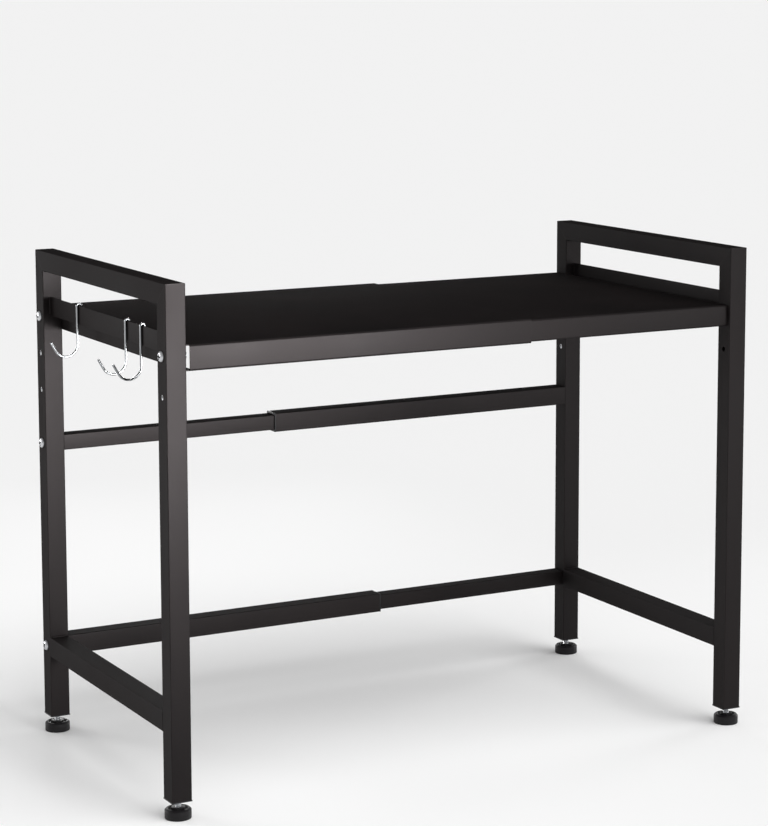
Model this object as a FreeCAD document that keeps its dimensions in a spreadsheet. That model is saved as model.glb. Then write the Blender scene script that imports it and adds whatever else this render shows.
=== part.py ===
import FreeCAD, Part
import math
import os

import Sketcher

# Extendable microwave rack: two welded side frames of square tube, a shelf of
# two sheet-metal trays that slide into each other, two telescoping bars at the
# back, four levelling feet and three wire hooks on the left guard bar.
#
# Millimetres. +X runs from the left frame to the right frame, +Y runs from the
# front to the back and +Z points up. The origin is on the worktop, under the
# middle of everything: midway between the tips of the hooks on the left and the
# screw heads on the right, and midway between the front and the back.

DOC = FreeCAD.newDocument("microwave_rack")
SHEET = DOC.addObject("Spreadsheet::Sheet", "Sizes")

SIZES = [
    # The rack as a whole, drawn out to the width it is used at.
    ("overall_width", 637.0),
    ("overall_depth", 333.0),
    ("overall_height", 497.0),
    # Square tube of the side frames.
    ("tube_size", 20.0),
    ("tube_wall", 1.2),
    ("tube_corner", 1.0),
    ("post_base", 18.0),
    ("lower_rail_height", 90.5),
    # Flat guard bar between the posts of each frame.
    ("guard_drop", 46.4),
    ("guard_height", 18.6),
    ("guard_thickness", 1.5),
    ("guard_inset", 7.4),
    # Shelf trays.
    ("shelf_drop", 56.6),
    ("sheet", 1.0),
    ("tray_drop", 24.1),
    ("tray_fold", 2.0),
    ("tray_return", 8.0),
    ("tray_slack", 0.2),
    ("tray_setback", 3.0),
    ("outer_tray_length", 364.0),
    ("inner_tray_length", 364.0),
    ("outer_lip_gap", 4.7),
    ("inner_lip_gap", 0.6),
    # Screws that hold the trays, and the lower positions of the shelf.
    ("shelf_screw_drop", 9.8),
    ("height_step", 37.4),
    ("screw_radius", 2.5),
    ("screw_slack", 0.1),
    ("head_radius", 5.0),
    ("head_height", 2.8),
    ("screw_tail", 2.0),
    ("bar_screw_margin", 1.5),
    # Telescoping bars at the back.
    ("mid_bar_drop", 196.0),
    ("bar_slider_size", 16.0),
    ("bar_slider_length", 345.0),
    ("bar_sleeve_length", 360.0),
    ("bar_plug_length", 16.0),
    ("plug_slack", 0.05),
    ("bushing_length", 15.0),
    ("bushing_flange", 1.5),
    ("running_slack", 0.06),
    ("slider_cap_flange", 1.5),
    ("slider_cap_slack", 0.2),
    # Levelling feet.
    ("foot_radius", 12.5),
    ("foot_height", 9.6),
    ("foot_bevel", 1.6),
    ("stem_radius", 3.0),
    ("stem_length", 33.0),
    ("plug_flange", 1.2),
    ("plug_overhang", 0.3),
    ("plug_length", 14.0),
    # Wire hooks.
    ("wire_radius", 1.15),
    ("hook_slack", 0.1),
    ("hook_seat_gap", 0.1),
    ("hook_leg", 12.0),
    ("hook_shank", 37.2),
    ("hook_bend_radius", 12.0),
    ("hook_bend_angle", 150.0),
    ("hook_tip", 10.93),
    ("front_hook_place", 73.0),
    ("middle_hook_place", 110.0),
    ("rear_hook_place", 234.5),
]


def fill_sheet():
    """Write each driving size into the sheet as a plain number with an alias."""
    for row, (alias, value) in enumerate(SIZES, start=1):
        SHEET.set(f"A{row}", alias)
        SHEET.set(f"B{row}", str(value))
        SHEET.setAlias(f"B{row}", alias)
    DOC.recompute()


def spell(formula):
    """Turn the size names of a formula into references to the sheet."""
    text = str(formula)
    for alias in sorted((name for name, _ in SIZES), key=len, reverse=True):
        text = text.replace(alias, "@" + str(ORDER[alias]) + "@")
    for alias, number in ORDER.items():
        text = text.replace("@" + str(number) + "@", "Sizes." + alias)
    return text


def value(formula):
    """The number that a formula of size names gives now."""
    return float(SHEET.evalExpression(spell(formula)))


def bind(thing, prop, formula):
    """Bind a property to a formula of size names."""
    thing.setExpression(prop, spell(formula))


ORDER = {name: number for number, (name, _) in enumerate(SIZES)}

# Taper of a screw head's side in degrees.
HEAD_TAPER = 12.0

# Small round pieces that repeat are many-sided, which keeps the model light.
WIRE_SIDES = 8
ROD_SIDES = 16
FOOT_SIDES = 24

# Formulas that several pieces share. The middle of the whole rack lies off the
# middle of its frames, because the hooks reach further out than the screw heads.
CROWN = "(guard_thickness / 2 + hook_slack + wire_radius)"
HOOK_OUTWARDS = "(hook_bend_radius * (1 - cos(hook_bend_angle)) + hook_tip * sin(hook_bend_angle))"
HOOK_REACH = f"({CROWN} + {HOOK_OUTWARDS} - wire_radius * cos(hook_bend_angle) - guard_inset - guard_thickness / 2)"
ORIGIN = f"(({HOOK_REACH} - head_height) / 2)"
LEFT = f"({ORIGIN} - overall_width / 2)"
RIGHT = f"({ORIGIN} + overall_width / 2)"
FRONT = "(-overall_depth / 2)"
BACK = "(overall_depth / 2)"
INNER_SPAN = "(overall_depth - 2 * tube_size)"
POST_LENGTH = "(overall_height - post_base)"
BORE = "(tube_size - 2 * tube_wall)"
NEST = "(sheet + tray_slack)"
GUARD_TOP = "(overall_height - guard_drop)"
SHELF_TOP = "(overall_height - shelf_drop)"
MID_BAR = "(overall_height - mid_bar_drop)"
SCREW_HEIGHT = f"({SHELF_TOP} - shelf_screw_drop)"
SCREW_HOLE = "(screw_radius + screw_slack)"
TRAY_DEPTH = "(overall_depth - tray_setback)"
FIRST_STEP = "(" + SCREW_HEIGHT + " - height_step)"
SECOND_STEP = "(" + SCREW_HEIGHT + " - 2 * height_step)"

# Height of the centre of a hook's crown when it hangs just off the two upper
# edges of the guard bar.
EDGE_RISE = "sqrt((guard_thickness / 2 + hook_slack) ^ 2 - (guard_thickness / 2) ^ 2)"
HOOK_CROWN = f"({GUARD_TOP} - {EDGE_RISE} + hook_seat_gap)"

# Heights of the shelf's screw holes in the front and in the back posts.
FRONT_HOLES = [SCREW_HEIGHT, FIRST_STEP]
BACK_HOLES = [SCREW_HEIGHT, FIRST_STEP, SECOND_STEP]
BAR_HEIGHTS = [MID_BAR, "lower_rail_height"]


def new_body(name):
    """A body whose label is the name of its file."""
    body = DOC.addObject("PartDesign::Body", name)
    body.Label = name
    return body


def place(thing, across, along, up, turn=0.0):
    """Bind a body's place to three formulas, after a turn about +Z in degrees."""
    axis = FreeCAD.Vector(0, 0, 1)
    thing.Placement = FreeCAD.Placement(FreeCAD.Vector(), FreeCAD.Rotation(axis, turn))
    bind(thing, "Placement.Base.x", across)
    bind(thing, "Placement.Base.y", along)
    bind(thing, "Placement.Base.z", up)


def sketch_on(body, plane, name, offset=None):
    """A sketch on one of the body's own origin planes, moved along its normal."""
    sketch = body.newObject("Sketcher::SketchObject", name)
    home = [item for item in body.Origin.OriginFeatures if item.Role == plane][0]
    sketch.AttachmentSupport = [(home, "")]
    sketch.MapMode = "FlatFace"
    if offset is not None:
        bind(sketch, "AttachmentOffset.Base.z", offset)
    return sketch


def pin(sketch, edge, end, formulas):
    """Bind one end point of an edge to an X and a Y formula."""
    for kind, formula in zip(("DistanceX", "DistanceY"), formulas):
        constraint = Sketcher.Constraint(kind, -1, 1, edge, end, value(formula))
        number = sketch.addConstraint(constraint)
        sketch.setExpression(f"Constraints[{number}]", spell(formula))


def polygon(sketch, corners):
    """A closed outline of straight edges through corners given as formulas."""
    points = [FreeCAD.Vector(value(x), value(y), 0) for x, y in corners]
    count = len(points)
    first = sketch.GeometryCount
    for number in range(count):
        ends = points[number], points[(number + 1) % count]
        sketch.addGeometry(Part.LineSegment(*ends), False)
    for number in range(count):
        after = first + (number + 1) % count
        sketch.addConstraint(Sketcher.Constraint("Coincident", first + number, 2, after, 1))
    for number, formulas in enumerate(corners):
        pin(sketch, first + number, 1, formulas)


def rectangle(sketch, left, right, bottom, top):
    """A rectangle between two X formulas and two Y formulas."""
    polygon(sketch, [(left, bottom), (right, bottom), (right, top), (left, top)])


def many_sided(sketch, radius, sides, across="0", along="0"):
    """A regular polygon about a centre, with one corner beside it along X."""
    angles = [360.0 / sides * step for step in range(sides)]
    polygon(sketch, [
        (f"{across} + {radius} * cos({angle})", f"{along} + {radius} * sin({angle})")
        for angle in angles
    ])


def around(radius):
    """Corner radius of a many-sided bore whose flats lie at a given radius."""
    return f"(({radius}) / cos({180.0 / ROD_SIDES}))"


def pad(body, sketch, length, backwards=False):
    """Extrude a sketch by a bound length."""
    feature = body.newObject("PartDesign::Pad", body.Name + "_pad")
    feature.Profile = sketch
    feature.Reversed = backwards
    bind(feature, "Length", length)
    DOC.recompute()
    return feature


def pocket(body, sketch, length):
    """Cut a sketch half of a bound length to each side of its plane."""
    before = body.Shape.Volume
    feature = body.newObject("PartDesign::Pocket", body.Name + "_pocket")
    feature.Profile = sketch
    feature.SideType = "Symmetric"
    bind(feature, "Length", length)
    DOC.recompute()
    if not body.Shape.Volume < before:
        raise RuntimeError(f"{feature.Name} cuts nothing")
    return feature


def edges_at(body, axis, places):
    """Names of the straight edges along an axis that pass through given places.

    Each place gives the two coordinates across the axis, in the order X, Y, Z.
    """
    shape = body.Tip.Shape
    names = []
    for number, edge in enumerate(shape.Edges, start=1):
        if len(edge.Vertexes) != 2 or edge.Curve.TypeId != "Part::GeomLine":
            continue
        run = edge.Vertexes[1].Point - edge.Vertexes[0].Point
        if abs(abs(run.normalize()[axis]) - 1) > 1e-6:
            continue
        across = [edge.Vertexes[0].Point[k] for k in range(3) if k != axis]
        for spot in places:
            if math.dist(across, spot) < 1e-4:
                names.append(f"Edge{number}")
    return names


def fillet(body, names, radius):
    """Round the named edges of a body's last feature."""
    if not names:
        raise RuntimeError(f"{body.Label} has no edge to round")
    last = body.Tip
    feature = body.newObject("PartDesign::Fillet", body.Name + "_round")
    feature.Base = (last, names)
    bind(feature, "Radius", radius)
    DOC.recompute()
    return feature


def round_edges(body, axis, places, radius):
    """Round the edges along an axis at places given as pairs of formulas."""
    spots = [(value(one), value(two)) for one, two in places]
    return fillet(body, edges_at(body, axis, spots), radius)


def round_corners(body, axis, size, radius):
    """Round the four long corners of a square bar that starts at 0, 0."""
    corners = [("0", "0"), (size, "0"), (size, size), ("0", size)]
    round_edges(body, axis, corners, radius)


def square_tube(name, plane, size, length):
    """A hollow square bar from its body's origin along X, Y or Z."""
    body = new_body(name)
    outline = sketch_on(body, plane, name + "_section")
    rectangle(outline, "0", size, "0", size)
    rectangle(outline, "tube_wall", size + " - tube_wall", "tube_wall", size + " - tube_wall")
    pad(body, outline, length, backwards=(plane == "XZ_Plane"))
    axis = {"YZ_Plane": 0, "XZ_Plane": 1, "XY_Plane": 2}[plane]
    round_corners(body, axis, size, "tube_corner")
    return body


def drill_across(body, name, spots, radius, length):
    """Drill round holes along X through a body at pairs of Y and Z formulas."""
    holes = sketch_on(body, "YZ_Plane", name)
    for along, up in spots:
        many_sided(holes, around(radius), ROD_SIDES, along, up)
    pocket(body, holes, length)


# ---------------------------------------------------------------- side frames

def make_post(name, front, across):
    """A post with a mitred top and the screw holes that go right through it."""
    body = square_tube(name, "XY_Plane", "tube_size", POST_LENGTH)
    mitre = sketch_on(body, "YZ_Plane", name + "_mitre")
    near, far = ("0", "tube_size") if front else ("tube_size", "0")
    polygon(mitre, [
        (near, POST_LENGTH),
        (far, POST_LENGTH + " - tube_size"),
        (far, POST_LENGTH + " + tube_size"),
        (near, POST_LENGTH + " + tube_size"),
    ])
    pocket(body, mitre, "4 * tube_size")
    heights = FRONT_HOLES if front else BACK_HOLES + BAR_HEIGHTS
    spots = [("tube_size / 2", f"{height} - post_base") for height in heights]
    drill_across(body, name + "_screw_holes", spots, SCREW_HOLE, "4 * tube_size")
    place(body, across, FRONT if front else BACK + " - tube_size", "post_base")
    return body


def make_top_rail(name, across):
    """The rail between the post tops, mitred at both ends."""
    body = square_tube(name, "XZ_Plane", "tube_size", "overall_depth")
    for tag, near, far in (("front", "0", "tube_size"), ("back", "overall_depth", "overall_depth - tube_size")):
        mitre = sketch_on(body, "YZ_Plane", f"{name}_{tag}_mitre")
        polygon(mitre, [(near, "tube_size"), (near, "-tube_size"), (far, "-tube_size"), (far, "0")])
        pocket(body, mitre, "4 * tube_size")
    place(body, across, FRONT, "overall_height - tube_size")
    return body


def make_lower_rail(name, across):
    """The rail near the feet, butted between the two posts."""
    body = square_tube(name, "XZ_Plane", "tube_size", INNER_SPAN)
    place(body, across, FRONT + " + tube_size", "lower_rail_height - tube_size / 2")
    return body


def make_guard_bar(name, across):
    """The flat bar on edge that keeps things on the shelf and carries hooks."""
    body = new_body(name)
    section = sketch_on(body, "XZ_Plane", name + "_section")
    rectangle(section, "0", "guard_thickness", "0", "guard_height")
    pad(body, section, INNER_SPAN, backwards=True)
    place(body, across, FRONT + " + tube_size", GUARD_TOP + " - guard_height")
    return body


def make_side_frame(side):
    """The posts, rails and guard bar of the left or the right frame."""
    left = side == "left"
    across = LEFT if left else RIGHT + " - tube_size"
    make_post(side + "_front_post", True, across)
    make_post(side + "_rear_post", False, across)
    make_top_rail(side + "_top_rail", across)
    make_lower_rail(side + "_lower_rail", across)
    guard = LEFT + " + guard_inset" if left else RIGHT + " - guard_inset - guard_thickness"
    make_guard_bar(side + "_guard_bar", guard)


# ---------------------------------------------------------------- shelf trays

def tray_section(depth, drop):
    """Corners of the folded sheet, seen along the rack's width."""
    back = f"({depth})"
    low = f"(-({drop}))"
    return [
        ("0", low), ("tray_return", low), ("tray_return", low + " + sheet"), ("sheet", low + " + sheet"),
        ("sheet", "-sheet"), (back + " - sheet", "-sheet"), (back + " - sheet", low + " + sheet"),
        (back + " - tray_return", low + " + sheet"), (back + " - tray_return", low), (back, low),
        (back, "0"), ("0", "0"),
    ]


def make_tray(name, nest, start, length, lip_gap):
    """A tray folded down at the front, the back and one end.

    The folded end is at X = 0 of the body and the open end slides. Nest is how
    far this tray lies inside the outline of the outer one, on every side, and
    start is how far its first lip stands in from the posts.
    """
    depth = f"({TRAY_DEPTH} - 2 * {nest})"
    drop = f"(tray_drop - 2 * {nest})"
    low = f"(-{drop})"
    body = new_body(name)
    section = sketch_on(body, "YZ_Plane", name + "_section")
    polygon(section, tray_section(depth, drop))
    pad(body, section, length)
    round_edges(body, 0, [("0", "0"), (depth, "0"), ("0", low), (depth, low)], "tray_fold")
    inner = [("sheet", "-sheet"), (depth + " - sheet", "-sheet")]
    inner += [("sheet", low + " + sheet"), (depth + " - sheet", low + " + sheet")]
    round_edges(body, 0, inner, "tray_fold - sheet")

    relief = sketch_on(body, "XY_Plane", name + "_relief")
    rectangle(relief, "-sheet", lip_gap, "-sheet", "tray_fold")
    rectangle(relief, "-sheet", lip_gap, depth + " - tray_fold", depth + " + sheet")
    pocket(body, relief, "4 * tray_drop")

    flange = sketch_on(body, "XZ_Plane", name + "_flange", "-tray_fold")
    polygon(flange, [
        ("0", "0"), ("sheet", "0"), ("sheet", low + " + sheet"),
        ("tray_return", low + " + sheet"), ("tray_return", low), ("0", low),
    ])
    pad(body, flange, depth + " - 2 * tray_fold", backwards=True)
    round_edges(body, 1, [("0", "0"), ("0", low)], f"min(tray_fold; 0.8 * {lip_gap})")
    holes = [f"tube_size / 2 - {start}", f"overall_depth - tube_size / 2 - {start}"]
    drill_across(
        body, name + "_screw_holes",
        [(along, f"{nest} - shelf_screw_drop") for along in holes],
        SCREW_HOLE, "4 * sheet",
    )
    return body


def make_trays():
    """The outer tray on the left frame and the inner tray on the right one."""
    outer = make_tray("outer_tray", "0", "tray_setback", "outer_tray_length", "outer_lip_gap")
    place(outer, LEFT + " + tube_size", FRONT + " + tray_setback", SHELF_TOP)
    inner = make_tray("inner_tray", NEST, NEST, "inner_tray_length", "inner_lip_gap")
    place(inner, RIGHT + " - tube_size", BACK + " - " + NEST, SHELF_TOP + " - " + NEST, turn=180)


# ------------------------------------------------------------- back crossbars

def make_bar_plug(name, size, heights, left):
    """Tapped blocks inside the post ends of the bars."""
    bodies = []
    for number, (bore, height) in enumerate(zip(size, heights)):
        body = new_body(f"{name}_{number}")
        section = sketch_on(body, "YZ_Plane", f"{name}_{number}_section")
        half = f"({bore} / 2 - plug_slack)"
        rectangle(section, "-" + half, half, "-" + half, half)
        many_sided(section, around("screw_radius + plug_slack"), ROD_SIDES)
        pad(body, section, "bar_plug_length", backwards=not left)
        across = LEFT + " + tube_size" if left else RIGHT + " - tube_size"
        place(body, across, BACK + " - tube_size / 2", height)
        bodies.append(body)
    return group(name, bodies)


def group(name, bodies):
    """One node made of separate solids."""
    for body in bodies:
        body.Label = body.Name + "_part"
    joined = DOC.addObject("Part::Compound", name)
    joined.Label = name
    joined.Links = bodies
    return joined


def make_slider(name, left, height):
    """The thin tube of a crossbar, fixed to one frame."""
    body = square_tube(name, "YZ_Plane", "bar_slider_size", "bar_slider_length")
    across = LEFT + " + tube_size" if left else RIGHT + " - tube_size - bar_slider_length"
    inset = "tube_size / 2 + bar_slider_size / 2"
    place(body, across, f"{BACK} - ({inset})", f"{height} - bar_slider_size / 2")
    return body


def make_bar_sleeve(name, left, height):
    """The wide tube of a crossbar, fixed to the other frame."""
    body = square_tube(name, "YZ_Plane", "tube_size", "bar_sleeve_length")
    across = LEFT + " + tube_size" if left else RIGHT + " - tube_size - bar_sleeve_length"
    place(body, across, BACK + " - tube_size", f"{height} - tube_size / 2")
    return body


def make_bushing(name, left, height):
    """The plastic collar in the mouth of a sleeve, in which the slider runs."""
    body = new_body(name)
    half = "(tube_size / 2)"
    run = "(bar_slider_size / 2 + running_slack)"
    flange = sketch_on(body, "YZ_Plane", name + "_flange")
    rectangle(flange, "-" + half, half, "-" + half, half)
    rectangle(flange, "-" + run, run, "-" + run, run)
    pad(body, flange, "bushing_flange")
    liner = sketch_on(body, "YZ_Plane", name + "_liner")
    fit = f"({BORE} / 2 - plug_slack)"
    rectangle(liner, "-" + fit, fit, "-" + fit, fit)
    rectangle(liner, "-" + run, run, "-" + run, run)
    pad(body, liner, "bushing_length", backwards=True)
    if left:
        across = LEFT + " + tube_size + bar_sleeve_length"
    else:
        across = RIGHT + " - tube_size - bar_sleeve_length"
    place(body, across, BACK + " - tube_size / 2", height, turn=0 if left else 180)
    return body


def make_slider_cap(name, left, height):
    """The plug that closes the free end of a slider inside the sleeve."""
    body = new_body(name)
    wide = f"({BORE} / 2 - slider_cap_slack)"
    fit = "(bar_slider_size / 2 - tube_wall - plug_slack)"
    flange = sketch_on(body, "YZ_Plane", name + "_flange")
    rectangle(flange, "-" + wide, wide, "-" + wide, wide)
    pad(body, flange, "slider_cap_flange")
    stub = sketch_on(body, "YZ_Plane", name + "_stub")
    rectangle(stub, "-" + fit, fit, "-" + fit, fit)
    pad(body, stub, "bar_plug_length", backwards=True)
    if left:
        across = LEFT + " + tube_size + bar_slider_length"
    else:
        across = RIGHT + " - tube_size - bar_slider_length"
    place(body, across, BACK + " - tube_size / 2", height, turn=0 if left else 180)
    return body


def make_crossbars():
    """The middle bar slides out of the right frame, the lower out of the left."""
    slider_bore = "(bar_slider_size - 2 * tube_wall)"
    make_slider("mid_bar_slider", True, MID_BAR)
    make_slider_cap("mid_bar_slider_cap", True, MID_BAR)
    make_bar_sleeve("mid_bar_sleeve", False, MID_BAR)
    make_bushing("mid_bar_bushing", False, MID_BAR)
    make_bar_sleeve("lower_bar_sleeve", True, "lower_rail_height")
    make_bushing("lower_bar_bushing", True, "lower_rail_height")
    make_slider("lower_bar_slider", False, "lower_rail_height")
    make_slider_cap("lower_bar_slider_cap", False, "lower_rail_height")
    make_bar_plug("left_bar_plugs", [slider_bore, BORE], BAR_HEIGHTS, True)
    make_bar_plug("right_bar_plugs", [BORE, slider_bore], BAR_HEIGHTS, False)


# ------------------------------------------------------------------ fasteners

def make_screw(name, left, along, height, length):
    """A pan-head screw whose head bears on the outer face of a post."""
    body = new_body(name)
    shank = sketch_on(body, "YZ_Plane", name + "_shank")
    many_sided(shank, "screw_radius", ROD_SIDES)
    pad(body, shank, length)
    head = sketch_on(body, "YZ_Plane", name + "_head")
    many_sided(head, "head_radius", ROD_SIDES)
    pad(body, head, "head_height", backwards=True).TaperAngle = -HEAD_TAPER
    place(body, LEFT if left else RIGHT, along, height, turn=0 if left else 180)
    return body


def make_screws(side):
    """Two shelf screws and two crossbar screws for one frame."""
    left = side == "left"
    near = FRONT + " + tube_size / 2"
    far = BACK + " - tube_size / 2"
    shelf = "tube_size + sheet + screw_tail"
    bars = "tube_size + bar_plug_length - bar_screw_margin"
    spots = [(near, SCREW_HEIGHT, shelf), (far, SCREW_HEIGHT, shelf)]
    spots += [(far, height, bars) for height in BAR_HEIGHTS]
    screws = [
        make_screw(f"{side}_screw_{number}", left, along, height, length)
        for number, (along, height, length) in enumerate(spots)
    ]
    group(side + "_screws", screws)


# -------------------------------------------------------------- feet and base

def post_centres(side):
    """X and Y formulas of the middle of the front and the back post."""
    across = LEFT + " + tube_size / 2" if side == "left" else RIGHT + " - tube_size / 2"
    return [(across, FRONT + " + tube_size / 2"), (across, BACK + " - tube_size / 2")]


def make_post_plugs(side):
    """Tapped plugs with a thin flange that close the bottoms of the posts."""
    plugs = []
    for number, (across, along) in enumerate(post_centres(side)):
        name = f"{side}_post_plug_{number}"
        body = new_body(name)
        edge = "(tube_size / 2 + plug_overhang)"
        flange = sketch_on(body, "XY_Plane", name + "_flange")
        rectangle(flange, "-" + edge, edge, "-" + edge, edge)
        pad(body, flange, "plug_flange", backwards=True)
        fit = f"({BORE} / 2 - plug_slack)"
        core = sketch_on(body, "XY_Plane", name + "_core")
        rectangle(core, "-" + fit, fit, "-" + fit, fit)
        pad(body, core, "plug_length")
        bore = sketch_on(body, "XY_Plane", name + "_bore")
        many_sided(bore, around("stem_radius + running_slack"), ROD_SIDES)
        pocket(body, bore, "4 * plug_length")
        place(body, across, along, "post_base")
        plugs.append(body)
    group(side + "_post_plugs", plugs)


def make_foot(name, across, along):
    """A plastic foot with a bevelled rim and the steel stem that stands on it."""
    pad_name = name + "_pad"
    foot = new_body(pad_name)
    outline = sketch_on(foot, "XY_Plane", pad_name + "_outline")
    many_sided(outline, "foot_radius", FOOT_SIDES)
    disc = pad(foot, outline, "foot_height")
    rim = [f"Edge{number}" for number, edge in enumerate(disc.Shape.Edges, start=1)
           if all(abs(vertex.Z - value("foot_height")) < 1e-4 for vertex in edge.Vertexes)]
    bevel = foot.newObject("PartDesign::Chamfer", pad_name + "_bevel")
    bevel.Base = (disc, rim)
    bind(bevel, "Size", "foot_bevel")
    place(foot, across, along, "0")

    stem_name = name + "_stem"
    stem = new_body(stem_name)
    rod = sketch_on(stem, "XY_Plane", stem_name + "_section")
    many_sided(rod, "stem_radius", ROD_SIDES)
    pad(stem, rod, "stem_length")
    place(stem, across, along, "foot_height")


def make_feet():
    """One levelling foot under each post."""
    for side in ("left", "right"):
        front, back = post_centres(side)
        make_foot(side + "_front_foot", *front)
        make_foot(side + "_rear_foot", *back)


# ----------------------------------------------------------------- wire hooks

def make_hook(name, place_along):
    """A wire bent over the guard bar, down outside it and out into a J.

    The body's origin is the lower end of the short leg behind the bar, and the
    wire's centre line lies in the XZ plane.
    """
    body = new_body(name)
    crown = value(CROWN)
    leg = value("hook_leg")
    drop = value("hook_shank")
    bend = value("hook_bend_radius")
    sweep = math.radians(value("hook_bend_angle"))
    tip = value("hook_tip")

    over = FreeCAD.Vector(-crown, leg, 0)
    low = leg - drop
    turn = FreeCAD.Vector(-2 * crown - bend, low, 0)
    leave = turn + FreeCAD.Vector(bend * math.cos(sweep), -bend * math.sin(sweep), 0)
    end = leave + FreeCAD.Vector(-tip * math.sin(sweep), -tip * math.cos(sweep), 0)
    up = FreeCAD.Vector(0, 0, 1)

    path = sketch_on(body, "XZ_Plane", name + "_path")
    path.addGeometry(Part.LineSegment(FreeCAD.Vector(0, 0, 0), FreeCAD.Vector(0, leg, 0)), False)
    path.addGeometry(Part.ArcOfCircle(Part.Circle(over, up, crown), 0, math.pi), False)
    path.addGeometry(
        Part.LineSegment(FreeCAD.Vector(-2 * crown, leg, 0), FreeCAD.Vector(-2 * crown, low, 0)), False)
    path.addGeometry(Part.ArcOfCircle(Part.Circle(turn, up, bend), 2 * math.pi - sweep, 2 * math.pi), False)
    path.addGeometry(Part.LineSegment(leave, end), False)

    joins = [(0, 2, 1, 1), (1, 2, 2, 1), (2, 2, 3, 2), (3, 1, 4, 1)]
    for one, one_end, two, two_end in joins:
        path.addConstraint(Sketcher.Constraint("Tangent", one, one_end, two, two_end))
    path.addConstraint(Sketcher.Constraint("Coincident", 0, 1, -1, 1))
    path.addConstraint(Sketcher.Constraint("Vertical", 0))
    path.addConstraint(Sketcher.Constraint("Vertical", 2))
    bound = [
        (Sketcher.Constraint("Distance", 0, leg), "hook_leg"),
        (Sketcher.Constraint("Radius", 1, crown), CROWN),
        (Sketcher.Constraint("Distance", 2, drop), "hook_shank"),
        (Sketcher.Constraint("Radius", 3, bend), "hook_bend_radius"),
        (Sketcher.Constraint("Distance", 4, tip), "hook_tip"),
    ]
    for constraint, formula in bound:
        number = path.addConstraint(constraint)
        path.setExpression(f"Constraints[{number}]", spell(formula))

    wire = sketch_on(body, "XY_Plane", name + "_wire")
    many_sided(wire, "wire_radius", WIRE_SIDES)
    pipe = body.newObject("PartDesign::AdditivePipe", name + "_bent_wire")
    pipe.Profile = wire
    pipe.Spine = (path, [])
    DOC.recompute()

    across = LEFT + " + guard_inset + guard_thickness + hook_slack + wire_radius"
    place(body, across, f"{FRONT} + {place_along}", f"{HOOK_CROWN} - hook_leg")
    return body


def make_hooks():
    """Three hooks on the left guard bar."""
    make_hook("front_hook", "front_hook_place")
    make_hook("middle_hook", "middle_hook_place")
    make_hook("rear_hook", "rear_hook_place")


# --------------------------------------------------------- checks and writing

def nodes():
    """Every object that is a sub-part of its own."""
    kinds = ("PartDesign::Body", "Part::Compound")
    return [item for item in DOC.Objects if item.TypeId in kinds and not item.Label.endswith("_part")]


def check_document():
    """Stop if any object failed or any sub-part has no valid shape."""
    for item in DOC.Objects:
        if "Invalid" in item.State or "Error" in item.State:
            raise RuntimeError(f"{item.Label} failed: {item.State}")
    for item in nodes():
        if item.Shape.isNull() or not item.Shape.isValid():
            raise RuntimeError(f"{item.Label} has no valid shape")


def write_parts():
    """Write each sub-part to a STEP file named after it."""
    os.makedirs("parts", exist_ok=True)
    for item in nodes():
        item.Shape.exportStep(f"parts/{item.Label}.step")
        print(f"{item.Label}: {len(item.Shape.Solids)} solid(s), {item.Shape.Volume:.0f} mm3")


fill_sheet()
make_side_frame("left")
make_side_frame("right")
make_trays()
make_crossbars()
for frame_side in ("left", "right"):
    make_screws(frame_side)
    make_post_plugs(frame_side)
make_feet()
make_hooks()
DOC.recompute()
check_document()
write_parts()
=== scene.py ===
# %% [markdown]
# # A microwave rack that draws out to the width of the worktop
#
# Two welded frames of square steel tube stand left and right. A shelf of two
# folded trays and two telescoping bars join them, so the rack can be drawn out.
# This notebook dresses the bare construction: it shades the tubes, adds the
# screws, nuts, threads, welds, feet and wire hooks, gives every surface its
# finish, and sets up a plain studio.

import math

import bmesh
import bpy
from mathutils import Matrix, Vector


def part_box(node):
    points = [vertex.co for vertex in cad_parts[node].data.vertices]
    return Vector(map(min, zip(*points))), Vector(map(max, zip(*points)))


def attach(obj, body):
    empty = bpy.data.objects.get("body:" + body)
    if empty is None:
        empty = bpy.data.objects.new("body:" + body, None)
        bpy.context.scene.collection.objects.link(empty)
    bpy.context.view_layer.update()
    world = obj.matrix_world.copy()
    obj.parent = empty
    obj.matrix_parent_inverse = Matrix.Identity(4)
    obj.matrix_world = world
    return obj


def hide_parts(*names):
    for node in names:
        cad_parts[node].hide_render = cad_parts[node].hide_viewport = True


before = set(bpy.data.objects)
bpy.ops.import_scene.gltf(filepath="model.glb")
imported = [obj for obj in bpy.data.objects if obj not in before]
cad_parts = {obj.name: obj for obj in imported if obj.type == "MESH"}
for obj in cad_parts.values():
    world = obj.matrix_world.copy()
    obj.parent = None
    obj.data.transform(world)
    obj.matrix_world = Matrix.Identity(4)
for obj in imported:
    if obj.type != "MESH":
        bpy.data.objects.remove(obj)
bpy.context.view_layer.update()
MM = 0.001

# %% [markdown]
# ## Small helpers for node trees
#
# Materials and Geometry Nodes are both trees of nodes. Placing nodes by hand is
# fine for one material; in a script a short helper that sets a node's options
# and plugs in its inputs keeps each recipe down to a few readable lines.

# %% Helpers for node trees
def add(tree, kind, inputs=None, **options):
    """Add a node; an input is either a value or the socket that feeds it."""
    made = tree.nodes.new(kind)
    for name, value in options.items():
        setattr(made, name, value)
    for key, value in (inputs or {}).items():
        if isinstance(value, bpy.types.NodeSocket):
            tree.links.new(value, made.inputs[key])
        else:
            made.inputs[key].default_value = value
    return made


def calc(tree, operation, *values):
    """One step of arithmetic, as the socket that carries its answer."""
    return add(tree, "ShaderNodeMath", dict(enumerate(values)), operation=operation).outputs[0]


def remap(tree, value, low, high, to_low, to_high):
    """Stretch a range of values onto another one and clamp it there."""
    inputs = {"Value": value, "From Min": low, "From Max": high}
    inputs.update({"To Min": to_low, "To Max": to_high})
    return add(tree, "ShaderNodeMapRange", inputs).outputs["Result"]


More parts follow.
